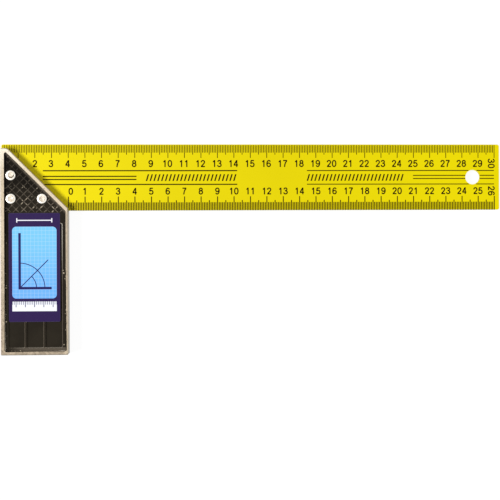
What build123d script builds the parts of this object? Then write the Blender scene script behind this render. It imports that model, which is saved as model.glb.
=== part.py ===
"""Carpenter square: a graduated steel blade riveted into a die-cast stock with a 45 degree mitre end.

The square lies flat on the rear rim of its stock. X runs along the blade, Y across it and Z up.
The origin is the inside corner, where the fence meets the lower edge of the blade, on the resting plane.
"""

import math
import os

from build123d import *

# Blade: a flat strip whose heel end is flush with the stock
BLADE_LENGTH = 303.0
BLADE_WIDTH = 40.0
BLADE_THICK = 1.0
BLADE_CORNER = 1.2
HANG_DIAMETER = 8.8
HANG_FROM_TIP = 16.5

# Stock: outline and thickness
STOCK_WIDTH = 40.0
STOCK_THICK = 14.0
STOCK_DROP = 86.5
STOCK_CORNER = 0.6
STOCK_EDGE = 0.5
MITRE_RISE = 1.4
MITRE_FOOT_ROUND = 0.8
TOP_FLAT = 4.1
TOP_ROUND = 4.0
SLOT_CLEARANCE = 0.02

# Raised rim and the drafted recess inside it, the same on both faces
RIM_HEEL = 2.2
RIM_FENCE = 1.3
RIM_END = 2.1
RIM_MITRE = 2.15
RIM_HEIGHT = 1.5
RIM_DRAFT = 16.0
RECESS_CORNER = 1.0

# Long pockets sunk into the recess: the one at the heel takes the width that is left
POCKET_WIDTH = 10.5
POCKET_RIB = 0.7
POCKET_LAND = 1.5
POCKET_DEPTH = 1.2
POCKET_DRAFT = 26.0
POCKET_CORNER = 1.2

# Checkered net of raised ridges around the rivets, one of its crossings, and the plain band below it
NET_PITCH = 3.27
NET_RIDGE = 0.5
NET_HEIGHT = 0.3
NET_DROP = 1.1
NET_MARGIN = 0.9
NET_FROM_HEEL = 18.4
NET_FROM_EDGE = 10.0
BAND_WIDTH = 6.3

# Rivets: two along the heel and one beside the mitre
RIVET_WALL_GAP = 0.27
RIVET_FROM_EDGE = 7.1
RIVET_FROM_TOP = 16.2
RIVET_FROM_MITRE = 6.9
RIVET_SHANK = 4.0
RIVET_CLEARANCE = 0.05
RIVET_HEAD = 6.2
RIVET_CROWN = 4.0
RIVET_LIP = 0.25
RIVET_BELOW_RIM = 0.3
RIVET_SEAT_MARGIN = 0.4

# Label
LABEL_HEEL_GAP = 0.6
LABEL_FENCE_GAP = 1.5
LABEL_HEIGHT = 65.1
LABEL_THICK = 0.12
LABEL_CORNER = 0.8
LABEL_TOP_GAP = 0.4

# Places that follow from the sizes
HEEL = -STOCK_WIDTH
MID_Z = STOCK_THICK / 2
LAND_Z = STOCK_THICK - RIM_HEIGHT
STOCK_TOP = STOCK_WIDTH + MITRE_RISE - TOP_FLAT
RIM_SLOPE = RIM_HEIGHT * math.tan(math.radians(RIM_DRAFT))
NET_FOOT = -NET_DROP
POCKET_TOP = NET_FOOT - BAND_WIDTH
POCKET_FOOT = -STOCK_DROP + RIM_END + RIM_SLOPE + POCKET_LAND
POCKET_LEFT = HEEL + RIM_HEEL + RIM_SLOPE + POCKET_LAND
POCKET_RIGHT = -RIM_FENCE - RIM_SLOPE - POCKET_LAND
RIVET_ROW = HEEL + RIM_HEEL + RIM_SLOPE + RIVET_WALL_GAP + RIVET_HEAD / 2
RIVET_PLACES = {
    "rivet_upper": (RIVET_ROW, STOCK_TOP - RIVET_FROM_TOP),
    "rivet_heel": (RIVET_ROW, RIVET_FROM_EDGE),
    "rivet_mitre": (MITRE_RISE - RIVET_FROM_MITRE * math.sqrt(2) - RIVET_FROM_EDGE, RIVET_FROM_EDGE),
}


def wedge_corners(heel: float, fence: float, foot: float, mitre: float) -> list[tuple[float, float]]:
    """Corners between heel, foot, fence and mitre, each edge moved inwards by its own margin."""
    left = HEEL + heel
    total = MITRE_RISE - mitre * math.sqrt(2)
    return [(left, foot), (-fence, foot), (-fence, total + fence), (left, total - left)]


def both_faces(tool: Part) -> Part:
    """A tool for the front face together with its mirror image on the rear face."""
    return tool + mirror(tool, Plane.XY.offset(MID_Z))


def make_body() -> Part:
    """Solid block of the stock with its rounded outline and eased edges."""
    heel_foot, fence_foot, fence_top, _ = wedge_corners(0, 0, -STOCK_DROP, 0)
    corners = [heel_foot, fence_foot, fence_top, (HEEL + TOP_FLAT, STOCK_TOP), (HEEL, STOCK_TOP)]
    radii = [STOCK_CORNER, STOCK_CORNER, MITRE_FOOT_ROUND, TOP_ROUND, STOCK_CORNER]
    block = extrude(make_face(Polyline(*corners, close=True)), STOCK_THICK)
    for (x, y), radius in zip(corners, radii):
        upright = block.edges().filter_by(Axis.Z).sort_by_distance((x, y, MID_Z))[0]
        block = fillet(upright, radius)
    rims = block.edges().filter_by(lambda edge: abs(edge.center().Z - MID_Z) > MID_Z / 2)
    return fillet(rims, STOCK_EDGE)


def make_recess() -> Part:
    """Drafted recess that leaves the raised rim standing."""
    corners = wedge_corners(RIM_HEEL, RIM_FENCE, -STOCK_DROP + RIM_END, RIM_MITRE)
    opening = fillet(make_face(Polyline(*corners, close=True)).vertices(), RECESS_CORNER)
    return extrude(Plane.XY.offset(STOCK_THICK) * opening, -RIM_HEIGHT, taper=RIM_DRAFT)


def make_pockets() -> Part:
    """Long drafted pockets in the floor of the recess, at an even pitch from the fence."""
    pitch = POCKET_WIDTH + POCKET_RIB
    rights = [POCKET_RIGHT - index * pitch for index in range(3)]
    lefts = [right - POCKET_WIDTH for right in rights[:-1]] + [POCKET_LEFT]
    pockets = Part()
    for left, right in zip(lefts, rights):
        opening = RectangleRounded(right - left, POCKET_TOP - POCKET_FOOT, POCKET_CORNER)
        place = Pos((left + right) / 2, (POCKET_TOP + POCKET_FOOT) / 2, LAND_Z)
        pockets += extrude(place * opening, -POCKET_DEPTH, taper=POCKET_DRAFT)
    return pockets


def make_net() -> Part:
    """Raised ridges crossing at right angles, clipped to their zone and clear of the rivet seats."""
    inset = RIM_SLOPE + NET_MARGIN
    corners = wedge_corners(RIM_HEEL + inset, RIM_FENCE + inset, NET_FOOT, RIM_MITRE + inset)
    zone = Sketch() + make_face(Polyline(*corners, close=True))
    seat = Circle(RIVET_HEAD / 2 + RIVET_SEAT_MARGIN)
    zone -= [Pos(x, y) * seat for x, y in RIVET_PLACES.values()]
    reach = zone.bounding_box().diagonal
    count = math.ceil(reach / NET_PITCH)
    ridge = Rectangle(2 * reach, NET_RIDGE)
    crossing = Pos(HEEL + NET_FROM_HEEL, NET_FROM_EDGE)
    ridges = Sketch() + [
        crossing * Rot(0, 0, turn) * Pos(0, index * NET_PITCH) * ridge
        for turn in (45, -45)
        for index in range(-count, count + 1)
    ]
    return extrude(Plane.XY.offset(LAND_Z) * (ridges & zone), NET_HEIGHT)


def make_stock() -> Part:
    """The casting: block, recesses, pockets and nets on both faces, blade slot and rivet holes."""
    stock = make_body() - both_faces(make_recess() + make_pockets())
    stock += both_faces(make_net())
    slot = Box(STOCK_WIDTH, STOCK_TOP, BLADE_THICK + 2 * SLOT_CLEARANCE)
    hole = Cylinder(RIVET_SHANK / 2 + RIVET_CLEARANCE, STOCK_THICK)
    holes = [Pos(x, y, MID_Z) * hole for x, y in RIVET_PLACES.values()]
    return stock - [Pos(HEEL / 2, STOCK_TOP / 2, MID_Z) * slot, *holes]


def make_blade() -> Part:
    """The blade strip with its rivet holes and its hanging hole."""
    tip = HEEL + BLADE_LENGTH
    strip = Pos((HEEL + tip) / 2, BLADE_WIDTH / 2) * RectangleRounded(BLADE_LENGTH, BLADE_WIDTH, BLADE_CORNER)
    hole = Circle(RIVET_SHANK / 2 + RIVET_CLEARANCE)
    strip -= [Pos(x, y) * hole for x, y in RIVET_PLACES.values()]
    strip -= Pos(tip - HANG_FROM_TIP, BLADE_WIDTH / 2) * Circle(HANG_DIAMETER / 2)
    return extrude(Plane.XY.offset(MID_Z - BLADE_THICK / 2) * strip, BLADE_THICK)


def make_rivet(x: float, y: float) -> Part:
    """Solid rivet: a shank through stock and blade, and a pan head with a flat crown on each face."""
    shank = RIVET_SHANK / 2
    head = RIVET_HEAD / 2
    flat = RIVET_CROWN / 2
    seat = LAND_Z - MID_Z
    lip = seat + RIVET_LIP
    crown = MID_Z - RIVET_BELOW_RIM
    half = [(shank, seat), (head, seat), (head, lip), (flat, crown), (0, crown)]
    corners = half + [(radius, -height) for radius, height in reversed(half)]
    profile = make_face(Polyline(*corners, close=True))
    return Pos(x, y, MID_Z) * revolve(Plane.XZ * profile, Axis.Z)


def make_label() -> Part:
    """Thin label on the band and the ribs of the front recess."""
    left = POCKET_LEFT + LABEL_HEEL_GAP
    right = POCKET_RIGHT - LABEL_FENCE_GAP
    face = RectangleRounded(right - left, LABEL_HEIGHT, LABEL_CORNER)
    centre_y = NET_FOOT - LABEL_TOP_GAP - LABEL_HEIGHT / 2
    return extrude(Pos((left + right) / 2, centre_y, LAND_Z) * face, LABEL_THICK)


nodes = {"blade": make_blade(), "stock": make_stock(), "label": make_label()}
nodes |= {name: make_rivet(x, y) for name, (x, y) in RIVET_PLACES.items()}

os.makedirs("parts", exist_ok=True)
for name, solid in nodes.items():
    export_step(solid, f"parts/{name}.step")
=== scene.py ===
"""Studio scene of a carpenter square: a yellow graduated blade riveted into a die-cast stock.

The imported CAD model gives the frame. This script dresses its nodes, prints the scales on the blade,
turns smooth rivets for the three plain ones, and sets up the floor, the lamps and the camera.
X runs along the blade, Y across it and Z up; the inside corner of the square is the origin.
Sizes are in millimetres until they go into Blender's own data.
"""

from __future__ import annotations

import logging
import math
from collections.abc import Mapping
from dataclasses import dataclass, field
from enum import Enum
from functools import reduce
from types import SimpleNamespace
from typing import Any

import bmesh
import bpy
from mathutils import Euler, Matrix, Vector


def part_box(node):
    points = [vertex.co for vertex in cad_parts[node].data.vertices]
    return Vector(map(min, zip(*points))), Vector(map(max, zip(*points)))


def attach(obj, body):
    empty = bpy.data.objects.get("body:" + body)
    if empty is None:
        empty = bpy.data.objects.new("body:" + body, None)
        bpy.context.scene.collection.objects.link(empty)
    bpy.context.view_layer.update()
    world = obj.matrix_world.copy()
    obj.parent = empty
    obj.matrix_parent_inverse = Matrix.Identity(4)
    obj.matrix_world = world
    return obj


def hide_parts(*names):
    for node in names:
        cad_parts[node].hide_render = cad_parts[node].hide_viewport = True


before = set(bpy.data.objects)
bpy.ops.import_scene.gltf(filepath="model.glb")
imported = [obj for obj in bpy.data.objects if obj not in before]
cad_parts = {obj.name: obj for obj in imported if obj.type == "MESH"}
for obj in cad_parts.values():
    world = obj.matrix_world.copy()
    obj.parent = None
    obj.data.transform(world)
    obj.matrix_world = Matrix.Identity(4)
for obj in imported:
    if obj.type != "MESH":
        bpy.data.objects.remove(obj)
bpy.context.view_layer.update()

LOG = logging.getLogger("carpenter_square")
ROOT = "root"
MM = 0.001
DOUBLES = 0.0005 * MM
POLE_WELD = 0.002 * MM
MITRE_RISE = 1.4
SEEN_RAYS = ("Is Camera Ray", "Is Glossy Ray", "Is Transmission Ray")

Colour = tuple[float, float, float, float]
Place = tuple[float, float, float]
Point = tuple[float, float]
Span = tuple[float, float]
Inputs = Mapping[int | str, Any]


def srgb(*levels: int) -> Colour:
    """Turn the red, green and blue of a display colour, 0 to 255, into Blender's linear colour."""
    shares = (level / 255 for level in levels)
    return (*(s / 12.92 if s <= 0.04045 else ((s + 0.055) / 1.055) ** 2.4 for s in shares), 1.0)


def grey(level: float) -> Colour:
    """A neutral linear colour."""
    return (level, level, level, 1.0)


@dataclass(frozen=True)
class Noise:
    """Cloudy noise: feature size, octaves, stretch along each axis, and levels spread to 0 and 1."""

    size: float
    detail: float = 3.0
    stretch: Place = (1.0, 1.0, 1.0)
    levels: Span | None = None


@dataclass(frozen=True)
class Spots:
    """Round spots: mean spacing, largest radius and the share of places that have one."""

    spacing: float
    radius: float
    share: float


@dataclass(frozen=True)
class Zone:
    """A patch that fades in along its spans, from first place to second, up to a share."""

    x: Span | None = None
    y: Span | None = None
    share: float = 1.0


class Signal:
    """An output socket whose arithmetic adds Math nodes to its tree."""

    def __init__(self, graph: Graph, socket: bpy.types.NodeSocket) -> None:
        """Wrap one output socket of a graph."""
        self.graph = graph
        self.socket = socket

    def math(self, operation: str, *others: Number) -> Signal:
        """Feed this signal and the others, in order, to a Math node."""
        operands = dict(enumerate((self, *others)))
        return self.graph.node("ShaderNodeMath", operands, operation=operation)

    def __add__(self, other: Number) -> Signal:
        """Add."""
        return self.math("ADD", other)

    __radd__ = __add__

    def __sub__(self, other: Number) -> Signal:
        """Subtract."""
        return self.math("SUBTRACT", other)

    def __rsub__(self, other: Number) -> Signal:
        """Subtract this signal from a number."""
        return self.math("MULTIPLY_ADD", -1.0, other)

    def __mul__(self, other: Number) -> Signal:
        """Multiply."""
        return self.math("MULTIPLY", other)

    __rmul__ = __mul__

    def __truediv__(self, other: Number) -> Signal:
        """Divide."""
        return self.math("DIVIDE", other)

    def __abs__(self) -> Signal:
        """Drop the sign."""
        return self.math("ABSOLUTE")

    def at_least(self, other: Number) -> Signal:
        """The larger of the two."""
        return self.math("MAXIMUM", other)

    def at_most(self, other: Number) -> Signal:
        """The smaller of the two."""
        return self.math("MINIMUM", other)

    def every(self, pitch: float) -> Signal:
        """Signed distance to the nearest multiple of a pitch."""
        return self.math("WRAP", pitch / 2, -pitch / 2)

    def hypot(self, other: Signal) -> Signal:
        """Length of a vector that has this signal and another as its parts."""
        return (self * self + other * other).math("SQRT")

    def ramp(self, start: float, end: float) -> Signal:
        """Go smoothly from 0 at start to 1 at end, which may lie below start."""
        limits = {"Value": self, "From Min": start, "From Max": end}
        return self.graph.node("ShaderNodeMapRange", limits, interpolation_type="SMOOTHSTEP")


Number = Signal | float


class Graph:
    """A node tree that is filled from Python."""

    def __init__(self, tree: bpy.types.NodeTree) -> None:
        """Start from an empty tree."""
        self.tree = tree
        tree.nodes.clear()

    @staticmethod
    def _socket(sockets: Any, key: int | str) -> bpy.types.NodeSocket:
        """Find a socket by its identifier, or else by its name or its place."""
        found = [socket for socket in sockets if socket.identifier == key]
        return found[0] if found else sockets[key]

    def add(self, kind: str, inputs: Inputs | None = None, **settings: Any) -> bpy.types.Node:
        """Add a node of any kind.

        Args:
            kind: The node's type name.
            inputs: Signals to link or values to set, by socket.
            settings: Properties of the node, set before its sockets.

        Returns:
            The new node.
        """
        made = self.tree.nodes.new(kind)
        for name, value in settings.items():
            setattr(made, name, value)
        for key, value in (inputs or {}).items():
            socket = self._socket(made.inputs, key)
            if isinstance(value, Signal):
                self.tree.links.new(value.socket, socket)
            else:
                socket.default_value = value
        return made

    def node(
        self, kind: str, inputs: Inputs | None = None, output: int | str = 0, **settings: Any
    ) -> Signal:
        """Add a node, as add does, and take one of its outputs."""
        made = self.add(kind, inputs, **settings)
        return Signal(self, self._socket(made.outputs, output))

    def split(self, vector: Signal) -> tuple[Signal, Signal, Signal]:
        """The three parts of a vector."""
        made = self.add("ShaderNodeSeparateXYZ", {0: vector})
        return tuple(Signal(self, part) for part in made.outputs)

    def join(self, x: Number, y: Number, z: Number) -> Signal:
        """A vector from its three parts."""
        return self.node("ShaderNodeCombineXYZ", {0: x, 1: y, 2: z})

    def vector(self, operation: str, first: Signal, second: Signal | Place) -> Signal:
        """Combine two vectors with a Vector Math node."""
        return self.node("ShaderNodeVectorMath", {0: first, 1: second}, operation=operation)

    def mix(self, share: Signal, first: Signal | Colour, second: Signal | Colour) -> Signal:
        """Blend two colours, with a share of the second one from 0 to 1."""
        inputs = {"Factor_Float": share, "A_Color": first, "B_Color": second}
        return self.node("ShaderNodeMix", inputs, "Result_Color", data_type="RGBA")

    def seen_directly(self) -> Signal:
        """1 for camera, glossy and transmission rays, which show the plain white background."""
        path = self.add("ShaderNodeLightPath")
        return reduce(Signal.at_least, (Signal(self, path.outputs[ray]) for ray in SEEN_RAYS))


class Finish(Graph):
    """A material's tree, with object coordinates in millimetres and the patterns that finishes share."""

    NAME = ""
    relief_depth: float
    roughness: float
    specular: float

    def __post_init__(self) -> None:
        """Make the material and its coordinates."""
        self.swatch = bpy.data.materials.new(self.NAME)
        self.swatch.use_nodes = True
        super().__init__(self.swatch.node_tree)
        metres = self.node("ShaderNodeTexCoord", output="Object")
        self.place = self.vector("MULTIPLY", metres, (1 / MM, 1 / MM, 1 / MM))
        self.x, self.y, self.z = self.split(self.place)

    def grain(self, noise: Noise) -> Signal:
        """Cloudy noise between 0 and 1.

        Args:
            noise: Its features.

        Returns:
            The noise, spread between its levels if it has them.
        """
        scaled = self.vector("DIVIDE", self.place, tuple(noise.size * each for each in noise.stretch))
        features = {"Vector": scaled, "Scale": 1.0, "Detail": noise.detail}
        cloudy = self.node("ShaderNodeTexNoise", features)
        return cloudy.ramp(*noise.levels) if noise.levels else cloudy

    def specks(self, spots: Spots) -> Signal:
        """Small round spots at random places.

        Args:
            spots: Their features.

        Returns:
            1 inside a spot and 0 elsewhere.
        """
        scaled = self.vector("DIVIDE", self.place, (spots.spacing,) * 3)
        cells = self.add("ShaderNodeTexVoronoi", {"Vector": scaled, "Scale": 1.0})
        chance, size, _ = self.split(Signal(self, cells.outputs["Color"]))
        radius = spots.radius / spots.spacing
        reach = size * radius * chance.ramp(spots.share, spots.share - 0.02)
        return (reach - Signal(self, cells.outputs["Distance"])).ramp(0.0, 0.25 * radius)

    def zone(self, zone: Zone) -> Signal:
        """Mask of a zone: 0 outside it, rising to its share."""
        spans = ((self.x, zone.x), (self.y, zone.y))
        return math.prod((place.ramp(*span) for place, span in spans if span), start=zone.share)

    def principled(self, colour: Signal, metallic: Number, rough: Signal, relief: Signal) -> Signal:
        """One Principled surface.

        Args:
            colour: Its base colour.
            metallic: How far it is bare metal.
            rough: What it adds to the finish's roughness.
            relief: Its height map, as a share of the finish's relief depth.

        Returns:
            The shader.
        """
        heights = {"Height": relief, "Distance": self.relief_depth * MM}
        inputs = {
            "Base Color": colour,
            "Metallic": metallic,
            "Roughness": self.roughness + rough,
            "Specular IOR Level": self.specular,
            "Normal": self.node("ShaderNodeBump", heights),
        }
        return self.node("ShaderNodeBsdfPrincipled", inputs)

    def shader(self) -> Signal:
        """The shader of the finish."""
        raise NotImplementedError

    def material(self) -> bpy.types.Material:
        """The material, with its tree ended in its shader."""
        self.add("ShaderNodeOutputMaterial", {"Surface": self.shader()})
        return self.swatch


@dataclass
class YellowLacquer(Finish):
    """Stove lacquer on the steel blade, rubbed along its edges and ground off at its heel end."""

    NAME = "blade_lacquer"
    length: float
    width: float
    heel: float
    colour: Colour = srgb(241, 223, 0)
    # shade: colour of a painted shade that darkens the lacquer towards the middle of the blade
    shade: Colour = srgb(227, 209, 0)
    steel: Colour = srgb(150, 148, 142)
    edge_wear: float = 0.16
    ground_end: Span = (0.12, 0.02)
    chipping: Noise = Noise(1.4, 4)
    clouds: Noise = Noise(38, 2, levels=(0.3, 0.7))
    streaks: Noise = Noise(0.8, 3, (30, 1, 1))
    peel: Noise = Noise(0.9, 2)
    relief_depth: float = 0.012
    roughness: float = 0.36
    specular: float = 0.08

    def shader(self) -> Signal:
        """Lacquer with a painted shade that darkens it towards its middle, with streaks along the blade
        and worn edges.

        Returns:
            The shader.
        """
        from_heel = self.x - self.heel
        sides = self.y.at_most(self.width - self.y)
        inside = from_heel.at_most(self.length - from_heel).at_most(sides)
        ragged = inside - (self.grain(self.chipping) - 0.62) * 3 * self.edge_wear
        worn = ragged.ramp(self.edge_wear * 0.6, 0.0).at_least(from_heel.ramp(*self.ground_end))
        # Painted shade: the lacquer turns to its shade colour towards the middle of the blade.
        middle = abs(from_heel - self.length / 2).ramp(self.length * 0.45, self.length * 0.05)
        streaks = self.grain(self.streaks)
        share = self.grain(self.clouds) * 0.2 + middle * 0.6 + streaks * 0.2
        lacquer = self.mix(share, self.colour, self.shade)
        peel = self.grain(self.peel) * 0.7 + streaks * 0.3
        colour = self.mix(worn, lacquer, self.steel)
        return self.principled(colour, worn * 0.9, streaks * 0.12, peel)


@dataclass
class PrintedInk(Finish):
    """Screen-printed black ink with thin places."""

    NAME = "scale_ink"
    colour: Colour = srgb(36, 20, 1)
    thin_colour: Colour = srgb(74, 54, 2)
    thin: Noise = Noise(1.1, levels=(0.6, 0.85))
    film: Noise = Noise(0.25, 2)
    relief_depth: float = 0.006
    roughness: float = 0.5
    specular: float = 0.05

    def shader(self) -> Signal:
        """Ink that lets a little of the lacquer through.

        Returns:
            The shader.
        """
        thin = self.grain(self.thin)
        colour = self.mix(thin * 0.4, self.colour, self.thin_colour)
        return self.principled(colour, 0.0, thin * 0.2, self.grain(self.film))


@dataclass
class CastFinish(Finish):
    """Die-cast metal: black paint in the recesses, and a bare ground rim and edges around them."""

    NAME = "stock_casting"
    heel: float
    foot: float
    thick: float
    rim_heel: float = 2.2
    rim_fence: float = 1.3
    rim_end: float = 2.1
    rim_mitre: float = 2.15
    rim_draft: float = 16.0
    land_depth: float = 1.5
    pocket_depth: float = 1.2
    ridge_height: float = 0.3
    paint_edge: float = 1.4
    paint_lean: float = 0.0085
    paint_slant: float = 0.023
    black: Colour = srgb(15, 11, 7)
    brown: Colour = srgb(41, 36, 28)
    # rubbed: worn paint on the net's crests, and the colour of painted light on the pocket walls and the
    # mitre's slope
    rubbed: Colour = srgb(126, 115, 101)
    metal: Colour = srgb(102, 92, 78)
    bright: Colour = srgb(152, 139, 121)
    # ground: bare ground metal of chips and scrapes, and the colour of the painted highlight on the rim
    ground: Colour = srgb(184, 171, 149)
    # pale: colour of the painted sheen on the pocket walls and of the painted highlight at the top of
    # the rim
    pale: Colour = srgb(190, 184, 170)
    pit: Colour = srgb(78, 65, 51)
    wall: Colour = srgb(190, 183, 171)
    wall_line: Colour = srgb(162, 154, 141)
    outline_grain: Noise = Noise(2.4)
    ridge_use: Noise = Noise(2.0, levels=(0.4, 0.65))
    slope_use: Noise = Noise(2.6, levels=(0.25, 0.7))
    clouds: Noise = Noise(9, levels=(0.3, 0.75))
    coat_grain: Noise = Noise(0.8)
    fine_grain: Noise = Noise(0.35)
    blotches: Noise = Noise(1.8, levels=(0.28, 0.76))
    side_lines: Noise = Noise(0.16, 2, (160, 160, 1), (0.25, 0.75))
    chips: Spots = Spots(1.7, 0.55, 0.5)
    scrapes: Spots = Spots(2.3, 1.2, 0.6)
    pits: Spots = Spots(1.1, 0.34, 0.6)
    below_net: Zone = Zone(y=(0.0, -2.0), share=0.7)
    low_ridges: Zone = Zone(y=(20.0, 3.0), share=0.54)
    scraped: Zone = Zone(x=(-32.0, -27.0), y=(20.0, 10.0))
    low_coat: Zone = Zone(y=(20.0, 1.0), share=0.7)
    # Painted shadow of the heel rim: the coat stays black along the heel wall, except towards the foot.
    off_heel_wall: Zone = Zone(x=(-37.2, -33.2))
    low_heel_wall: Zone = Zone(y=(-10.0, -26.0))
    below_corner: Zone = Zone(y=(10.0, 0.0))
    foot_land: Zone = Zone(x=(-37.0, -24.0), y=(-81.6, -82.2))
    foot_sheen: Zone = Zone(x=(-37.0, -24.0), y=(-81.6, -81.9), share=0.3)
    fence_sheen: Zone = Zone(x=(-6.5, -5.0), y=(-46.0, -10.0))
    # Painted highlight on the heel's rim, brightest towards the top.
    heel_polish: Zone = Zone(x=(-35.0, -37.0), y=(-80.0, 5.0), share=0.38)
    fence_polish: Zone = Zone(x=(-2.6, -1.6), share=0.11)
    low_fence_polish: Zone = Zone(x=(-2.6, -1.6), y=(-25.0, -70.0), share=0.2)
    edge_polish: Zone = Zone(x=(-0.8, -0.3), share=0.8)
    pale_top: Zone = Zone(y=(20.0, 38.0), share=0.65)
    relief_depth: float = 0.05
    roughness: float = 0.43
    specular: float = 0.05

    def __post_init__(self) -> None:
        """Measure from the middle and the faces of the stock, and from the rims of mitre and recess."""
        super().__post_init__()
        self.land = self.thick / 2 - self.land_depth
        self.height = abs(self.z - self.thick / 2)
        self.depth = self.thick / 2 - self.height
        self.mitre = (MITRE_RISE - (self.x + self.y)) / math.sqrt(2) - self.rim_mitre
        self.inside = self.recess()

    def recess(self, lean: float = 0.0, slant: float = 0.0) -> Signal:
        """Distance inside an outline that is, or nearly is, the opening of the recess.

        Args:
            lean: How far the outline's sides shift towards the fence on each millimetre down.
            slant: How far its foot rises on each millimetre towards the fence.

        Returns:
            The distance, negative on the rim.
        """
        x = self.x + (self.y - self.foot / 4).at_most(0.0) * lean
        y = self.y - (self.x - self.heel * 0.6) * slant
        sides = (x - (self.heel + self.rim_heel)).at_most(-self.rim_fence - x)
        return sides.at_most(y - (self.foot + self.rim_end)).at_most(self.mitre)

    def painted(self) -> Signal:
        """1 on the black paint, whose ragged outline leans a little against the rim.

        Returns:
            The mask.
        """
        draft = math.tan(math.radians(self.rim_draft))
        sunk = self.recess(self.paint_lean, self.paint_slant) / draft
        sunk = sunk.at_most(self.depth + self.zone(self.below_corner) * self.land_depth)
        return (sunk + (self.grain(self.outline_grain) - 0.52) * self.paint_edge).ramp(0.05, 0.25)

    def pocket_walls(self) -> Signal:
        """1 on the walls of the pockets."""
        low, high = self.land - self.pocket_depth, self.land
        return self.height.ramp(low + 0.05, low + 0.3) * self.height.ramp(high - 0.03, high - 0.12)

    def crests(self) -> Signal:
        """1 on the crests of the net."""
        low, high = (self.land + self.ridge_height * share for share in (0.7, 0.95))
        return self.height.ramp(low, high) * self.inside.ramp(0.6, 0.9)

    def rubbing(self) -> Signal:
        """Share of the rubbed colour: paint rubbed off the net's crests, painted light on the pocket
        walls and the mitre's slope, and a lighter foot.

        Returns:
            The share, 0 to 1.
        """
        use = 0.25 + self.grain(self.ridge_use) * 0.75
        ridges = self.crests() * use * (0.2 + self.zone(self.low_ridges))
        foot = self.zone(self.foot_land)
        # Painted light: the pocket walls are lightened, most at the foot, which lifts the shaded walls
        # and gives light lines on the lit ones.
        walls = self.pocket_walls() * (0.45 + foot * 0.5)
        # Painted highlight on the mitre's inner slope, which faces the light.
        slope = self.mitre.ramp(2.0, 0.0) * (0.4 + self.grain(self.slope_use) * 0.6)
        worn = walls.at_least(foot * 0.4).at_least(slope * 0.75)
        return ridges.at_least(worn * self.inside.ramp(-0.2, 0.4))

    def coat(self) -> Signal:
        """Colour of the paint, with its rubbed, scraped and chipped places, painted light on the pocket
        walls and the mitre's slope, and a painted shadow of the heel rim along the heel wall.

        Returns:
            The colour.
        """
        chips = self.specks(self.chips) * self.depth.ramp(self.land_depth + 0.2, self.land_depth)
        chips = chips * (0.3 + self.zone(self.below_net))
        scrapes = self.specks(self.scrapes) * self.zone(self.scraped) * self.crests()
        clouds = self.grain(self.clouds) * 0.4 + self.zone(self.low_coat)
        # Random brown tone, browner towards the bottom, held black along the heel wall as a painted
        # shadow of the heel rim.
        clouds = clouds * self.zone(self.off_heel_wall).at_least(self.zone(self.low_heel_wall))
        coat = self.mix(clouds, self.black, self.brown)
        # Rubbed crests, with painted light on the pocket walls and the mitre's slope.
        coat = self.mix(self.rubbing(), coat, self.rubbed)
        # Painted sheen: light lines on the pocket walls near the fence and at the foot.
        sheen = self.zone(self.fence_sheen).at_least(self.zone(self.foot_sheen))
        coat = self.mix(sheen * self.pocket_walls(), coat, self.pale)
        return self.mix(chips.at_least(scrapes * 0.75), coat, self.ground)

    def polish(self) -> Signal:
        """Share of the lighter ground colour on the rim: a painted highlight, most on the mitre and then
        on the heel, and a lighter fence.

        Returns:
            The share, 0 to 1.
        """
        # Painted highlight along the mitre's rim.
        mitre = self.mitre.ramp(0.4, 0.0) * 0.6
        fence = self.zone(self.fence_polish) + self.zone(self.low_fence_polish)
        others = (self.zone(self.heel_polish), fence, self.zone(self.edge_polish))
        return reduce(Signal.at_least, others, mitre)

    def shader(self) -> Signal:
        """Paint over bare cast metal, which is pitted on its faces and ground along its sides.

        Returns:
            The shader.
        """
        painted = self.painted()
        side = self.depth.ramp(0.3, 0.9)
        lines = self.grain(self.side_lines)
        fine = self.grain(self.fine_grain)
        pits = self.specks(self.pits) * (1 - side * 0.8)
        bare = self.mix(self.grain(self.blotches) * 0.5 + fine * 0.4, self.metal, self.bright)
        bare = self.mix(self.polish(), bare, self.ground)
        # Painted highlight: the bare rim turns pale towards the top of the stock.
        bare = self.mix(self.zone(self.pale_top), bare, self.pale)
        bare = self.mix(side, bare, self.mix(lines * 0.7 + fine * 0.3, self.wall, self.wall_line))
        bare = self.mix(pits * 0.5, bare, self.pit)
        rough = fine + lines * side - pits * 0.8
        relief = painted * self.grain(self.coat_grain) + (1 - painted) * rough
        colour = self.mix(painted, bare, self.coat())
        metallic = (1 - painted) * (1 - pits * 0.6)
        return self.principled(colour, metallic, painted * 0.15 + fine * 0.14, relief)


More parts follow.
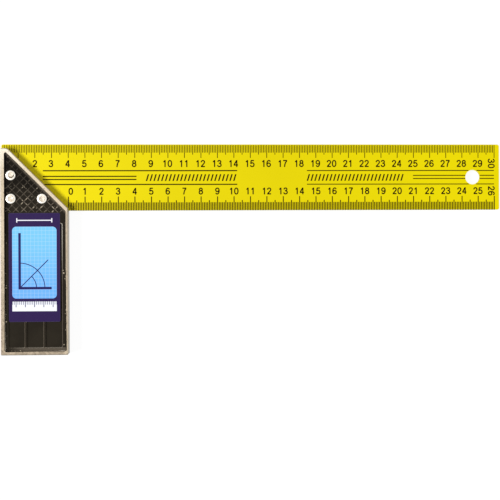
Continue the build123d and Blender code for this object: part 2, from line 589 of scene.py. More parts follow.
@dataclass
class RivetMetal(Finish):
    """Aluminium with a painted highlight round the edge of each head and a crown that the press has left
    duller.
    """

    NAME = "rivet_metal"
    middles: tuple[Point, ...]
    radius: float
    front: float
    # edge: colour of the painted highlight round the edge of each head
    edge: Colour = srgb(238, 233, 222)
    colour: Colour = srgb(164, 155, 142)
    dull: Colour = srgb(122, 114, 102)
    # Colour of the painted shade in the crescent of the first rivet's dent.
    dark: Colour = srgb(70, 64, 48)
    crown_edge: Span = (0.6, 0.82)
    dent_place: Point = (0.3, 0.55)
    dent_reach: float = 1.8
    dent_width: Span = (0.42, 0.12)
    dent_facing: Point = (0.47, -0.88)
    dent_ends: Span = (0.9, 1.6)
    blows: Noise = Noise(1.1, 2)
    fine_grain: Noise = Noise(0.25, 2)
    relief_depth: float = 0.08
    roughness: float = 0.3
    specular: float = 0.5

    def rim(self) -> Signal:
        """1 on the painted highlight round the edge of a head and 0 on its crown."""
        reach = reduce(Signal.at_most, ((self.x - x).hypot(self.y - y) for x, y in self.middles))
        return (reach / self.radius).ramp(*self.crown_edge)

    def dent(self) -> Signal:
        """1 in the crescent that the press has left on the front of the first rivet, which also carries
        a painted shade.

        Returns:
            The mask.
        """
        x, y = (middle + shift for middle, shift in zip(self.middles[0], self.dent_place))
        across = self.x - x
        along = self.y - y
        arc = abs(across.hypot(along) - self.dent_reach).ramp(*self.dent_width)
        facing = across * self.dent_facing[0] + along * self.dent_facing[1]
        return arc * facing.ramp(*self.dent_ends) * self.z.ramp(self.front - 1.0, self.front)

    def shader(self) -> Signal:
        """Bright metal with the marks of the press.

        Returns:
            The shader.
        """
        blows = self.grain(self.blows)
        fine = self.grain(self.fine_grain)
        dent = self.dent()
        crown = self.mix(blows.ramp(0.4, 0.75) * 0.8, self.colour, self.dull)
        # Painted highlight: the edge of each head is lighter than its crown.
        head = self.mix(self.rim(), crown, self.edge)
        relief = blows * 0.8 + fine * 0.2 - dent
        # The dent's crescent is coloured dark as a painted shade.
        return self.principled(self.mix(dent, head, self.dark), 1.0, fine * 0.15, relief)


@dataclass
class LabelPrint(Finish):
    """Printed label: a violet ground, a light-blue chart of angles and a white strip with marks."""

    NAME = "label_print"
    centre: Point
    size: Point
    violet: Colour = srgb(43, 24, 76)
    navy: Colour = srgb(34, 30, 92)
    blue: Colour = srgb(124, 202, 255)
    deep_blue: Colour = srgb(112, 178, 252)
    white: Colour = srgb(244, 246, 252)
    soft: float = 0.07
    panel_x: Span = (-13.2, 13.2)
    panel_y: Span = (-18.6, 24.4)
    panel_corner: float = 2.4
    tint_fade: Span = (20.0, -20.0)
    grid: float = 2.2
    grid_line: float = 0.16
    chart_corner: Point = (-8.8, -12.4)
    legs: Point = (19.0, 33.0)
    leg_width: float = 1.5
    diagonal: Span = (0.5, 24.0)
    diagonal_width: float = 0.55
    arcs: Point = (15.0, 10.0)
    arc_width: float = 0.5
    strip: Span = (-26.2, -20.4)
    small_marks: Place = (1.1, 0.34, 1.9)
    large_marks: Place = (5.5, 0.44, 3.4)
    measure_height: float = 28.2
    measure_reach: float = 10.4
    measure_width: float = 0.6
    stops: Span = (26.9, 29.5)
    cut: float = 0.2
    cut_grain: Noise = Noise(0.6)
    scuffs: Noise = Noise(0.9, 4, levels=(0.66, 0.82))
    waves: Noise = Noise(7, 2, (1, 2.5, 1))
    paper: Noise = Noise(0.3, 2)
    relief_depth: float = 0.12
    roughness: float = 0.34
    specular: float = 0.08

    def __post_init__(self) -> None:
        """Measure from the centre of the label."""
        super().__post_init__()
        self.right = self.x - self.centre[0]
        self.up = self.y - self.centre[1]

    def line(self, distance: Signal, width: float) -> Signal:
        """A printed line of a width, from the distance to its middle."""
        return abs(distance).ramp(width / 2 + self.soft, width / 2 - self.soft)

    def band(self, value: Signal, low: float, high: float) -> Signal:
        """A printed band between two values."""
        return self.line(value - (low + high) / 2, high - low)

    def marks(self, pitch: float, width: float, length: float) -> Signal:
        """A row of marks that hang from the upper edge of the strip."""
        low, high = self.strip[1] - length, self.strip[1] + 1.0
        return self.line(self.right.every(pitch), width) * self.band(self.up, low, high)

    def panel(self) -> Signal:
        """1 on the chart's field, which has rounded corners.

        Returns:
            The mask.
        """
        overs = []
        for place, (low, high) in ((self.right, self.panel_x), (self.up, self.panel_y)):
            flat = (high - low) / 2 - self.panel_corner
            overs.append((abs(place - (low + high) / 2) - flat).at_least(0.0))
        corner = self.panel_corner
        return reduce(Signal.hypot, overs).ramp(corner + self.soft, corner - self.soft)

    def chart(self) -> Signal:
        """1 on the ink of a right angle with its half-angle line and arcs.

        Returns:
            The mask.
        """
        x, y = self.right - self.chart_corner[0], self.up - self.chart_corner[1]
        across, up = self.legs
        half = self.leg_width / 2
        foot = self.line(y, self.leg_width) * self.band(x, -half, across)
        upright = self.line(x, self.leg_width) * self.band(y, -half, up)
        reach = x.hypot(y)
        slope = x - y
        diagonal = self.line(slope / math.sqrt(2), self.diagonal_width)
        large, small = (self.line(reach - radius, self.arc_width) for radius in self.arcs)
        thin = (diagonal * self.band(reach, *self.diagonal)).at_least(large)
        thin = thin.at_least(slope.ramp(0.0, 0.1) * small)
        return foot.at_least(upright).at_least(x.ramp(0.0, 0.1) * y.ramp(0.0, 0.1) * thin)

    def measure(self) -> Signal:
        """1 on the ink of a dimension line with a stop at each end.

        Returns:
            The mask.
        """
        reach, width = self.measure_reach, self.measure_width
        shaft = self.line(self.up - self.measure_height, width) * self.band(self.right, -reach, reach)
        stops = self.line(abs(self.right) - reach, width) * self.band(self.up, *self.stops)
        return shaft.at_least(stops)

    def cut_edges(self) -> Signal:
        """1 on the ragged edges where the label was cut."""
        over = (abs(self.right) - self.size[0] / 2).at_least(abs(self.up) - self.size[1] / 2) + self.cut
        return (over + (self.grain(self.cut_grain) - 0.5) * 0.4).ramp(0.0, 0.15)

    def shader(self) -> Signal:
        """Print on wavy paper, paler where it is scuffed or cut.

        Returns:
            The shader.
        """
        tint = self.mix(self.up.ramp(*self.tint_fade), self.blue, self.deep_blue)
        columns = self.line(self.right.every(self.grid), self.grid_line)
        rows = self.line(self.up.every(self.grid), self.grid_line)
        chart = self.mix(columns.at_least(rows) * 0.32, tint, self.white)
        chart = self.mix(self.chart(), chart, self.navy)
        ink = self.mix(self.panel(), self.violet, chart)
        marks = self.marks(*self.small_marks).at_least(self.marks(*self.large_marks))
        strip = self.band(self.up, *self.strip) * self.band(self.right, *self.panel_x)
        ink = self.mix(strip, ink, self.mix(marks, self.white, self.navy))
        ink = self.mix(self.measure(), ink, self.white)
        scuffs = self.grain(self.scuffs)
        pale = (scuffs * 0.08).at_least(self.cut_edges() * 0.05)
        relief = self.grain(self.waves) * 0.8 + self.grain(self.paper) * 0.2
        return self.principled(self.mix(pale, ink, self.white), 0.0, scuffs * 0.25, relief)


@dataclass
class PaleFloor(Finish):
    """White floor that keeps a faint shadow near the square and turns plain white further out."""

    NAME = "pale_floor"
    albedo: float = 0.8
    shade: float = 0.1
    glow: float = 0.945
    fade: Span = (330.0, 700.0)

    def shader(self) -> Signal:
        """A plain floor for soft light, and a glowing one where it is seen.

        Returns:
            The shader.
        """
        away = self.x.hypot(self.y).ramp(*self.fade)
        keep = self.mix(away, grey(self.shade), grey(0.0))
        shine = self.mix(away, grey(self.glow), grey(1.0))
        lit = self.node("ShaderNodeBsdfDiffuse", {"Color": keep})
        glow = self.node("ShaderNodeEmission", {"Color": shine})
        shown = self.node("ShaderNodeAddShader", {0: lit, 1: glow})
        plain = self.node("ShaderNodeBsdfDiffuse", {"Color": grey(self.albedo)})
        return self.node("ShaderNodeMixShader", {"Fac": self.seen_directly(), 1: plain, 2: shown})


def put_in_scene(name: str, data: bpy.types.ID) -> bpy.types.Object:
    """Make an object and link it to the scene.

    Args:
        name: Name of the object.
        data: Its mesh, curve, lamp or camera.

    Returns:
        The object, at the origin.
    """
    made = bpy.data.objects.new(name, data)
    bpy.context.scene.collection.objects.link(made)
    return made


def place_piece(name: str, mesh: bpy.types.Mesh) -> bpy.types.Object:
    """Make a piece from a mesh: merge doubles, turn its faces outwards and let it ride on the square.

    Args:
        name: Name of the piece.
        mesh: Its mesh, in place.

    Returns:
        The piece.
    """
    work = bmesh.new()
    work.from_mesh(mesh)
    bmesh.ops.remove_doubles(work, verts=work.verts, dist=DOUBLES)
    bmesh.ops.recalc_face_normals(work, faces=work.faces)
    work.to_mesh(mesh)
    work.free()
    piece = put_in_scene(name, mesh)
    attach(piece, ROOT)
    LOG.info("%s: %d faces", name, len(mesh.polygons))
    return piece


def in_metres(lengths: Mapping[str, float]) -> dict[str, float]:
    """Named lengths in Blender's own unit."""
    return {label: length * MM for label, length in lengths.items()}


def dress_node(name: str, finish: bpy.types.Material) -> None:
    """Give a CAD node a finish in place of its plain one.

    Args:
        name: Name of the node.
        finish: The new material.
    """
    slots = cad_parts[name].data.materials
    slots.clear()
    slots.append(finish)
    LOG.info("%s: dressed as %s", name, finish.name)


class Kind(Enum):
    """What an input of a Geometry Nodes tree takes."""

    WHOLE = "NodeSocketInt"
    NUMBER = "NodeSocketFloat"
    VECTOR = "NodeSocketVector"
    FINISH = "NodeSocketMaterial"
    GEOMETRY = "NodeSocketGeometry"


class Recipe(Graph):
    """A Geometry Nodes tree with named inputs, grown into a plain mesh."""

    SIZES: Mapping[str, Kind] = {}

    def __init__(self, name: str) -> None:
        """Build the tree: its inputs, its shape, then Realize Instances and Set Material.

        Args:
            name: Name of the tree.
        """
        super().__init__(bpy.data.node_groups.new(name, "GeometryNodeTree"))
        face = self.tree.interface
        inputs = {"Geometry": Kind.GEOMETRY, **self.SIZES, "Finish": Kind.FINISH}
        self.keys = {
            label: face.new_socket(label, in_out="INPUT", socket_type=kind.value).identifier
            for label, kind in inputs.items()
        }
        face.new_socket("Geometry", in_out="OUTPUT", socket_type=Kind.GEOMETRY.value)
        entry = self.tree.nodes.new("NodeGroupInput")
        signals = {label: Signal(self, entry.outputs[label]) for label in inputs}
        self.given = SimpleNamespace(
            **{label.lower().replace(" ", "_"): signal for label, signal in signals.items()}
        )
        solid = self.node("GeometryNodeRealizeInstances", {"Geometry": self.shape()})
        dressed = {"Geometry": solid, "Material": self.given.finish}
        self.add("NodeGroupOutput", {0: self.node("GeometryNodeSetMaterial", dressed)})

    def shape(self) -> Signal:
        """The geometry that the recipe makes."""
        raise NotImplementedError

    def row(self, count: Signal, start: Signal, pitch: Signal) -> Signal:
        """Points in a row along X."""
        line = {"Count": count, "Start Location": start, "Offset": self.join(pitch, 0.0, 0.0)}
        return self.node("GeometryNodeMeshLine", line)

    def bar(self, change: str, amount: Signal | Place) -> Signal:
        """A unit cube, changed by one input of a Transform node."""
        unit = self.node("GeometryNodeMeshCube", {"Size": (1.0, 1.0, 1.0)})
        return self.node("GeometryNodeTransform", {"Geometry": unit, change: amount})

    def grow(
        self, name: str, source: bpy.types.ID, finish: bpy.types.Material, sizes: Mapping[str, Any]
    ) -> bpy.types.Object:
        """Run the tree on a source and keep the result as a plain mesh.

        Args:
            name: Name of the new piece.
            source: Mesh or curve data that the tree starts from.
            finish: Material of the piece.
            sizes: Values of the named inputs.

        Returns:
            The new piece, at the origin.
        """
        host = put_in_scene(f"{name}_host", source)
        modifier = host.modifiers.new("recipe", "NODES")
        modifier.node_group = self.tree
        for label, value in {**sizes, "Finish": finish}.items():
            modifier[self.keys[label]] = value
        evaluated = host.evaluated_get(bpy.context.evaluated_depsgraph_get())
        mesh = bpy.data.meshes.new_from_object(evaluated)
        mesh.name = name
        bpy.data.objects.remove(host)
        return place_piece(name, mesh)


class GraduationRecipe(Recipe):
    """A row of scale marks: every fifth and tenth is longer, and none runs under the stock."""

    ROW = ("Pitch", "Zero", "Edge", "Inwards", "Height", "Stock Top", "Mitre Rise")
    BARS = ("Short", "Middle", "Long", "Width", "Thickness")
    SIZES = dict.fromkeys(("First", "Count"), Kind.WHOLE) | dict.fromkeys(ROW + BARS, Kind.NUMBER)

    def shape(self) -> Signal:
        """Bars on a line of points, scaled by the rule of the scale.

        Returns:
            The bars.
        """
        given = self.given
        order = self.node("GeometryNodeInputIndex") + given.first
        across, along, _ = self.split(self.node("GeometryNodeInputPosition"))
        start = self.join(given.zero + given.first * given.pitch, 0.0, given.height)
        points = self.row(given.count, start, given.pitch)
        fifth, tenth = (1 - order.math("FLOORED_MODULO", each).at_most(1.0) for each in (5.0, 10.0))
        length = given.short + fifth * (given.middle - given.short)
        length = length + tenth * (given.long - given.middle)
        far = given.edge + given.inwards * length
        stock = (given.mitre_rise - across).at_most(given.stock_top)
        low = given.edge.at_most(far).at_least(stock)
        lifted = {"Geometry": points, "Offset": self.join(0.0, low, 0.0)}
        feet = self.node("GeometryNodeSetPosition", lifted)
        shown = given.edge.at_least(far) - along
        bars = {
            "Points": feet,
            "Instance": self.bar("Translation", (0.0, 0.5, 0.5)),
            "Selection": shown.math("GREATER_THAN", 0.0),
            "Scale": self.join(given.width, shown, given.thickness),
        }
        return self.node("GeometryNodeInstanceOnPoints", bars)


class StrokeRecipe(Recipe):
    """Flat pen strokes: every curve becomes a closed strip of one width and thickness."""

    SIZES = dict.fromkeys(("Width", "Thickness", "Spacing"), Kind.NUMBER)

    def shape(self) -> Signal:
        """A rectangle swept along the curves, which stay level.

        Returns:
            The strips.
        """
        given = self.given
        even = {"Curve": given.geometry, "Length": given.spacing}
        path = self.node("GeometryNodeResampleCurve", even, mode="LENGTH")
        level = self.node("GeometryNodeSetCurveNormal", {"Curve": path}, mode="Z_UP")
        outline = {"Width": given.width, "Height": given.thickness}
        pen = self.node("GeometryNodeCurvePrimitiveQuadrilateral", outline, mode="RECTANGLE")
        swept = {"Curve": level, "Profile Curve": pen, "Fill Caps": True}
        return self.node("GeometryNodeCurveToMesh", swept)


class HatchRecipe(Recipe):
    """A row of slanted bars."""

    SIZES = {
        "Count": Kind.WHOLE,
        "Pitch": Kind.NUMBER,
        "Start": Kind.VECTOR,
        "Slant": Kind.NUMBER,
        "Size": Kind.VECTOR,
    }

    def shape(self) -> Signal:
        """Sheared bars on a line of points.

        Returns:
            The bars.
        """
        given = self.given
        points = self.row(given.count, given.start, given.pitch)
        _, along, _ = self.split(self.node("GeometryNodeInputPosition"))
        shear = self.join(along * given.slant, 0.0, 0.0)
        lean = {"Geometry": self.bar("Scale", given.size), "Offset": shear}
        bar = self.node("GeometryNodeSetPosition", lean)
        return self.node("GeometryNodeInstanceOnPoints", {"Points": points, "Instance": bar})


class TurningRecipe(Recipe):
    """A turned solid: the source curve is a half profile that goes round the Z axis."""

    SIZES = {"Segments": Kind.WHOLE, "Steps": Kind.WHOLE, "Place": Kind.VECTOR}

    def shape(self) -> Signal:
        """A grid bent round the axis, with its seam and its poles merged.

        Returns:
            The solid, in its place.
        """
        given = self.given
        lattice = {"Size X": 1.0, "Size Y": 1.0, "Vertices X": given.segments, "Vertices Y": given.steps}
        sheet = self.node("GeometryNodeMeshGrid", lattice)
        across, along, _ = self.split(self.node("GeometryNodeInputPosition"))
        angle = (across + 0.5) * math.tau
        sample = {"Curves": given.geometry, "Factor": along + 0.5}
        settings = {"mode": "FACTOR", "use_all_curves": True}
        profile = self.node("GeometryNodeSampleCurve", sample, "Position", **settings)
        radius, _, height = self.split(profile)
        spot = self.join(radius * angle.math("COSINE"), radius * angle.math("SINE"), height)
        turned = self.node("GeometryNodeSetPosition", {"Geometry": sheet, "Position": spot})
        merged = self.node("GeometryNodeMergeByDistance", {"Geometry": turned, "Distance": POLE_WELD})
        return self.node("GeometryNodeTransform", {"Geometry": merged, "Translation": given.place})


class StrokeKind(Enum):
    """How a pen stroke goes through its points."""

    STRAIGHT = "straight"
    SMOOTH = "smooth"
    LOOP = "loop"


class Reading(Enum):
    """Direction in which a number reads, as a turn in degrees."""

    ALONG = 0
    DOWN = -90


@dataclass(frozen=True)
class Stroke:
    """One pen stroke in a cell that is one unit high."""

    kind: StrokeKind
    points: tuple[Point, ...]


def straight(*points: Point) -> Stroke:
    """A stroke with straight runs between its points."""
    return Stroke(StrokeKind.STRAIGHT, points)


def smooth(*points: Point) -> Stroke:
    """A smooth stroke through its points."""
    return Stroke(StrokeKind.SMOOTH, points)


def loop(x: float, y: float, half_width: float, half_height: float) -> Stroke:
    """An oval stroke round a middle point."""
    sides = ((0, half_height), (-half_width, 0), (0, -half_height), (half_width, 0))
    return Stroke(StrokeKind.LOOP, tuple((x + side[0], y + side[1]) for side in sides))


NUMERALS: dict[str, tuple[Stroke, ...]] = {
    "0": (loop(0.29, 0.5, 0.22, 0.43),),
    "1": (
        straight((0.34, 1.0), (0.34, 0.0)),
        smooth((0.12, 0.75), (0.22, 0.79), (0.31, 0.93)),
    ),
    "2": (
        smooth(
            (0.07, 0.68), (0.13, 0.86), (0.29, 0.93), (0.46, 0.84),
            (0.49, 0.67), (0.37, 0.45), (0.09, 0.1),
        ),
        straight((0.03, 0.07), (0.55, 0.07)),
    ),
    "3": (
        smooth(
            (0.08, 0.73), (0.15, 0.89), (0.29, 0.93), (0.44, 0.86),
            (0.46, 0.69), (0.37, 0.56), (0.22, 0.54),
        ),
        smooth(
            (0.22, 0.54), (0.42, 0.49), (0.51, 0.3), (0.43, 0.12),
            (0.28, 0.07), (0.12, 0.13), (0.06, 0.29),
        ),
    ),
    "4": (
        straight((0.41, 1.0), (0.41, 0.0)),
        straight((0.39, 0.95), (0.06, 0.3)),
        straight((0.02, 0.29), (0.57, 0.29)),
    ),
    "5": (
        straight((0.12, 0.93), (0.51, 0.93)),
        straight((0.15, 0.95), (0.09, 0.46)),
        smooth(
            (0.1, 0.5), (0.28, 0.6), (0.45, 0.52), (0.51, 0.33),
            (0.44, 0.13), (0.28, 0.07), (0.12, 0.12), (0.05, 0.26),
        ),
    ),
    "6": (
        loop(0.29, 0.32, 0.22, 0.25),
        smooth((0.49, 0.76), (0.42, 0.89), (0.3, 0.93), (0.15, 0.83), (0.07, 0.58), (0.07, 0.32)),
    ),
    "7": (
        straight((0.04, 0.93), (0.55, 0.93)),
        smooth((0.51, 0.9), (0.32, 0.56), (0.21, 0.0)),
    ),
    "8": (loop(0.29, 0.74, 0.18, 0.19), loop(0.29, 0.31, 0.22, 0.24)),
    "9": (
        loop(0.29, 0.68, 0.22, 0.25),
        smooth((0.09, 0.24), (0.16, 0.11), (0.28, 0.07), (0.43, 0.17), (0.51, 0.42), (0.51, 0.68)),
    ),
}


@dataclass
class StrokeSheet:
    """Pen strokes gathered in one curve, at one height on the blade."""

    name: str
    height: float = 0.0
    cell: float = 0.58
    advance: float = 0.67
    breadth: float = 1.12
    smoothness: int = 10
    curve: bpy.types.Curve = field(init=False)

    def __post_init__(self) -> None:
        """Start an empty curve."""
        self.curve = bpy.data.curves.new(self.name, "CURVE")
        self.curve.dimensions = "3D"
        self.curve.resolution_u = self.smoothness

    def draw(self, stroke: Stroke, place: Matrix) -> None:
        """Add one stroke.

        Args:
            stroke: The stroke, in its own cell.
            place: Where the cell goes.
        """
        corners = [place @ Vector((x, y, 0.0)) * MM for x, y in stroke.points]
        if stroke.kind is StrokeKind.STRAIGHT:
            spline = self.curve.splines.new("POLY")
            spline.points.add(len(corners) - 1)
            for point, corner in zip(spline.points, corners):
                point.co = (*corner, 1.0)
            return
        spline = self.curve.splines.new("BEZIER")
        spline.bezier_points.add(len(corners) - 1)
        for point, corner in zip(spline.bezier_points, corners):
            point.co = corner
            point.handle_left_type = point.handle_right_type = "AUTO"
        spline.use_cyclic_u = stroke.kind is StrokeKind.LOOP

    def rule(self, start: Point, end: Point) -> None:
        """Draw a straight line between two places on the blade."""
        self.draw(straight(start, end), Matrix.Translation((0.0, 0.0, self.height)))

    def write(self, number: int, middle: Point, size: float, reading: Reading) -> None:
        """Write a number.

        Args:
            number: The number.
            middle: The middle of the number on the blade.
            size: Height of its numerals.
            reading: Direction in which it reads.
        """
        text = str(number)
        span = (len(text) - 1) * self.advance + self.cell
        turn = Matrix.Rotation(math.radians(reading.value), 4, "Z")
        spread = Matrix.Diagonal((size * self.breadth, size, size, 1.0))
        spot = Matrix.Translation((*middle, self.height)) @ turn @ spread
        for order, numeral in enumerate(text):
            cell = Matrix.Translation((order * self.advance - span / 2, -0.5, 0.0))
            for stroke in NUMERALS[numeral]:
                self.draw(stroke, spot @ cell)


@dataclass(frozen=True)
class ScaleRow:
    """One printed scale on the blade: its short, middle and long marks, and its numbers."""

    name: str
    zero: float
    edge: float
    inwards: int
    last: int
    first_mark: int
    marks: Place
    mark_width: float
    first_number: int
    number_middle: float
    number_size: float
    number_shift: float
    end_number: Point
    first_shift: float = 0.0


@dataclass(frozen=True)
class RuledBlock:
    """Two outer lines and two inner ones from one start, with an end for each pair."""

    name: str
    start: float
    ends: Point
    inner: Point
    width: float


@dataclass
class Blade:
    """The steel blade: its lacquer, both scales, the ruled lines and the hatched fields between them."""

    stock_top: float = 37.3
    stock_gap: float = 0.1
    mitre_gap: float = 0.4
    hang_hole: Place = (246.5, 20.0, 4.4)
    hole_gap: float = 0.15
    ink_proud: float = 0.02
    ink_sunk: float = 0.01
    pen_width: float = 0.72
    pen_step: float = 0.22
    outer_lines: Point = (24.1, 15.8)
    blocks: tuple[RuledBlock, ...] = (
        RuledBlock("left_ruling", start=-15.3, ends=(102.0, 41.0), inner=(20.7, 18.8), width=0.67),
        RuledBlock("right_ruling", start=259.9, ends=(144.5, 209.7), inner=(21.1, 19.2), width=0.53),
    )
    hatches: tuple[tuple[str, float, float], ...] = (
        ("left_hatch", 47.6, 101.2),
        ("right_hatch", 145.4, 204.4),
    )
    hatch_middle: float = 19.9
    hatch_size: Point = (0.85, 4.1)
    hatch_pitch: float = 2.3
    hatch_slant: float = 0.3
    rows: tuple[ScaleRow, ...] = (
        ScaleRow(
            "upper", zero=-40.0, edge=39.6, inwards=-1, last=30,
            first_mark=1, marks=(4.6, 5.8, 7.8), mark_width=0.43,
            first_number=2, number_middle=28.4, number_size=4.2, number_shift=-0.4,
            end_number=(258.2, 28.4),
        ),
        ScaleRow(
            "lower", zero=0.0, edge=0.0, inwards=1, last=26,
            first_mark=0, marks=(4.95, 6.2, 8.5), mark_width=0.58,
            first_number=0, number_middle=11.7, number_size=4.1, number_shift=-0.15,
            end_number=(258.2, 11.6), first_shift=1.45,
        ),
    )

    def __post_init__(self) -> None:
        """Read the blade's place from its CAD node, mix the ink and make the pen."""
        low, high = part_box("blade")
        self.heel = low.x / MM
        self.length = (high.x - low.x) / MM
        self.width = (high.y - low.y) / MM
        self.face = high.z / MM
        self.ink_thickness = self.ink_proud + self.ink_sunk
        self.ink_middle = self.face + (self.ink_proud - self.ink_sunk) / 2
        self.ink = PrintedInk().material()
        self.strokes = StrokeRecipe("pen_strokes")

    def build(self) -> None:
        """Dress the blade and print everything on it."""
        lacquer = YellowLacquer(length=self.length, width=self.width, heel=self.heel)
        dress_node("blade", lacquer.material())
        graduations = GraduationRecipe("graduations")
        for row in self.rows:
            self.print_marks(row, graduations)
            self.print_numbers(row)
        for block in self.blocks:
            self.rule_lines(block)
        self.print_hatches()

    def print_marks(self, row: ScaleRow, recipe: GraduationRecipe) -> None:
        """Print the marks of one scale, a millimetre apart.

        Args:
            row: The scale.
            recipe: The tree that makes them.
        """
        lengths = {
            "Pitch": 1.0,
            "Zero": row.zero,
            "Edge": row.edge,
            "Height": self.face - self.ink_sunk,
            "Stock Top": self.stock_top + self.stock_gap,
            "Mitre Rise": MITRE_RISE + self.mitre_gap,
            **dict(zip(("Short", "Middle", "Long"), row.marks)),
            "Width": row.mark_width,
            "Thickness": self.ink_thickness,
        }
        counts = {"First": row.first_mark, "Count": row.last * 10 + 1 - row.first_mark}
        sizes = in_metres(lengths) | counts | {"Inwards": float(row.inwards)}
        recipe.grow(f"{row.name}_marks", bpy.data.meshes.new(row.name), self.ink, sizes)

    def print_numbers(self, row: ScaleRow) -> None:
        """Print the numbers of one scale, the last one turned to read downwards.

        Args:
            row: The scale.
        """
        sheet = StrokeSheet(f"{row.name}_numbers", self.ink_middle)
        for number in range(row.first_number, row.last):
            shift = row.first_shift if number == row.first_number else row.number_shift
            middle = (row.zero + 10.0 * number + shift, row.number_middle)
            sheet.write(number, middle, row.number_size, Reading.ALONG)
        sheet.write(row.last, row.end_number, row.number_size, Reading.DOWN)
        self.ink_strokes(sheet, self.pen_width)

    def rule_lines(self, block: RuledBlock) -> None:
        """Print one block of ruled lines.

        Args:
            block: The block.
        """
        sheet = StrokeSheet(block.name, self.ink_middle)
        for heights, end in zip((self.outer_lines, block.inner), block.ends):
            low, high = sorted((block.start, end))
            for height in heights:
                for start, stop in self.whole_runs(height, low, high, block.width):
                    sheet.rule((start, height), (stop, height))
        self.ink_strokes(sheet, block.width)

    def whole_runs(self, height: float, start: float, end: float, width: float) -> list[Span]:
        """Parts of a ruled line that the hanging hole leaves.

        Args:
            height: Where the line lies across the blade.
            start: Its left end.
            end: Its right end.
            width: Its width.

        Returns:
            The two ends of each part.
        """
        hole_x, hole_y, radius = self.hang_hole
        if not start < hole_x < end:
            return [(start, end)]
        reach = max(abs(height - hole_y) - width / 2, 0.0)
        gap = math.sqrt(max((radius + self.hole_gap) ** 2 - reach**2, 0.0))
        return [(start, hole_x - gap), (hole_x + gap, end)]

    def ink_strokes(self, sheet: StrokeSheet, width: float) -> None:
        """Turn a sheet of strokes into ink of a width."""
        lengths = {"Width": width, "Thickness": self.ink_thickness, "Spacing": self.pen_step}
        self.strokes.grow(sheet.name, sheet.curve, self.ink, in_metres(lengths))

    def print_hatches(self) -> None:
        """Print a row of slanted bars in each field between the ruled lines."""
        recipe = HatchRecipe("hatching")
        for name, start, end in self.hatches:
            sizes = {
                "Count": int((end - start) / self.hatch_pitch) + 1,
                "Pitch": self.hatch_pitch * MM,
                "Start": Vector((start, self.hatch_middle, self.ink_middle)) * MM,
                "Slant": self.hatch_slant,
                "Size": Vector((*self.hatch_size, self.ink_thickness)) * MM,
            }
            recipe.grow(name, bpy.data.meshes.new(name), self.ink, sizes)


@dataclass
class Stock:
    """The die-cast stock, with its black recesses and its bare rim."""

    def build(self) -> None:
        """Dress the casting."""
        low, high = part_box("stock")
        finish = CastFinish(heel=low.x / MM, foot=low.y / MM, thick=(high.z - low.z) / MM)
        dress_node("stock", finish.material())


@dataclass
class Label:
    """The printed label on the front of the stock."""

    def build(self) -> None:
        """Dress the label."""
        low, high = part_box("label")
        middle = (low + high) / 2 / MM
        size = (high - low) / MM
        finish = LabelPrint(centre=(middle.x, middle.y), size=(size.x, size.y))
        dress_node("label", finish.material())


class RivetNode(Enum):
    """The CAD nodes of the rivets."""

    UPPER = "rivet_upper"
    HEEL = "rivet_heel"
    MITRE = "rivet_mitre"


@dataclass
class Rivets:
    """Three peened rivets with low round heads on both faces."""

    shank: float = 2.0
    head_share: float = 0.985
    head_height: float = 1.16
    lip: float = 0.3
    crown: float = 1.5
    dish: float = 0.08
    dish_share: float = 0.6
    fullness: float = 3.0
    eased: float = 0.05
    curve_steps: int = 12
    segments: int = 57
    steps: int = 121
    slot: str = "rivet_metal"

    def build(self) -> None:
        """Turn each rivet and put it in place of its CAD node."""
        recipe = TurningRecipe("turned_rivet")
        boxes = {node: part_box(node.value) for node in RivetNode}
        middles = {node: (low + high) / 2 for node, (low, high) in boxes.items()}
        low, high = boxes[RivetNode.UPPER]
        radius = (high.x - low.x) / 2 / MM * self.head_share
        top = (high.z - low.z) / 2 / MM
        places = tuple((middle.x / MM, middle.y / MM) for middle in middles.values())
        finish = RivetMetal(places, radius, front=high.z / MM - self.head_height).material()
        for node, middle in middles.items():
            name = f"{node.value}_turned"
            sizes = {"Segments": self.segments, "Steps": self.steps, "Place": middle}
            piece = recipe.grow(name, self.profile(name, radius, top), finish, sizes)
            for polygon in piece.data.polygons:
                polygon.use_smooth = True
            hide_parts(node.value)

    def profile(self, name: str, radius: float, top: float) -> bpy.types.Curve:
        """Half profile of a rivet, from the front pole to the rear pole.

        Args:
            name: Name of the curve.
            radius: Radius of its heads.
            top: Height of its crowns above the middle of the stock.

        Returns:
            The profile, with the radius along X.
        """
        seat = top - self.head_height
        power = 2 / self.fullness
        dished = (self.crown * self.dish_share, top - self.dish * self.dish_share)
        half = [(0.0, top - self.dish), dished, (self.crown, top)]
        for step in range(1, self.curve_steps + 1):
            turn = math.pi / 2 * step / self.curve_steps
            out = self.crown + (radius - self.crown) * math.sin(turn) ** power
            rise = (self.head_height - self.lip) * max(math.cos(turn), 0.0) ** power
            half.append((out, seat + self.lip + rise))
        half += [(radius, seat + self.eased), (radius - self.eased, seat), (self.shank, seat)]
        rear = ((out, -up) for out, up in reversed(half))
        sheet = StrokeSheet(name)
        sheet.draw(straight(*half, *rear), Matrix.Rotation(math.pi / 2, 4, "X"))
        return sheet.curve


@dataclass(frozen=True)
class Lamp:
    """A round soft lamp that points at the square."""

    name: str
    place: Place
    diameter: float
    power: float
    target: Place = (20.0, 0.0, 7.0)


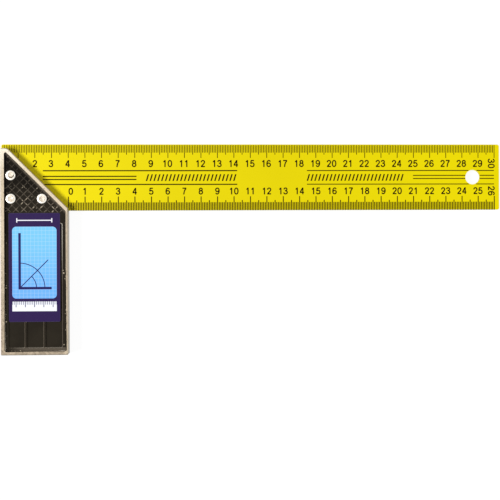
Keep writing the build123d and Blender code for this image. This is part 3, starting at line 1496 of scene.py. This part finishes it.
@dataclass
class Studio:
    """Floor, lamps, white surroundings and the camera that looks down on the square."""

    floor_reach: float = 8000.0
    floor_drop: float = 0.05
    ambient: float = 0.27
    lamps: tuple[Lamp, ...] = (
        Lamp("key", place=(-1530.0, -290.0, 2350.0), diameter=900.0, power=71.5),
        Lamp("glare", place=(-190.0, 130.0, 1200.0), diameter=240.0, power=1.2),
    )
    camera_place: Place = (58.30, -25.93, 856.67)
    camera_turn: Place = (0.0021, -0.0603, -0.0042)
    camera_lens: float = 100.8
    camera_sensor: float = 36.0
    camera_sight: Span = (50.0, 50000.0)

    def build(self) -> None:
        """Set up the whole studio."""
        bpy.context.scene.view_settings.view_transform = "Standard"
        self.lay_floor()
        self.light_world()
        for lamp in self.lamps:
            self.hang_lamp(lamp)
        self.set_camera()

    def lay_floor(self) -> None:
        """Lay the floor under the rear rim of the stock."""
        reach = self.floor_reach * MM
        signs = ((-1, -1), (1, -1), (1, 1), (-1, 1))
        mesh = bpy.data.meshes.new("floor")
        mesh.from_pydata([(x * reach, y * reach, 0.0) for x, y in signs], [], [(0, 1, 2, 3)])
        mesh.materials.append(PaleFloor().material())
        floor = put_in_scene("floor", mesh)
        floor.location.z = -self.floor_drop * MM

    def light_world(self) -> None:
        """White surroundings where they are seen, and an even soft light from all round."""
        world = bpy.data.worlds.new("studio")
        world.use_nodes = True
        bpy.context.scene.world = world
        graph = Graph(world.node_tree)
        colour = graph.mix(graph.seen_directly(), grey(self.ambient), grey(1.0))
        sky = graph.node("ShaderNodeBackground", {"Color": colour, "Strength": 1.0})
        graph.add("ShaderNodeOutputWorld", {"Surface": sky})

    def hang_lamp(self, lamp: Lamp) -> None:
        """Hang one lamp and turn it towards its target.

        Args:
            lamp: The lamp.
        """
        data = bpy.data.lights.new(lamp.name, "AREA")
        data.shape = "DISK"
        data.size = lamp.diameter * MM
        data.energy = lamp.power
        holder = put_in_scene(lamp.name, data)
        holder.location = Vector(lamp.place) * MM
        aim = Vector(lamp.target) - Vector(lamp.place)
        holder.rotation_euler = aim.to_track_quat("-Z", "Y").to_euler()

    def set_camera(self) -> None:
        """Put the camera where the picture was taken from."""
        data = bpy.data.cameras.new("camera")
        data.lens = self.camera_lens
        data.sensor_width = self.camera_sensor
        data.clip_start, data.clip_end = (distance * MM for distance in self.camera_sight)
        camera = put_in_scene("camera", data)
        camera.rotation_mode = "ZYX"
        camera.rotation_euler = Euler(self.camera_turn, "ZYX")
        camera.location = Vector(self.camera_place) * MM
        bpy.context.scene.camera = camera


def main() -> None:
    """Build the square and its studio in order."""
    logging.basicConfig(level=logging.INFO, format="%(message)s")
    for part in (Blade(), Stock(), Label(), Rivets(), Studio()):
        LOG.info("building %s", type(part).__name__)
        part.build()


if __name__ == "__main__":
    main()
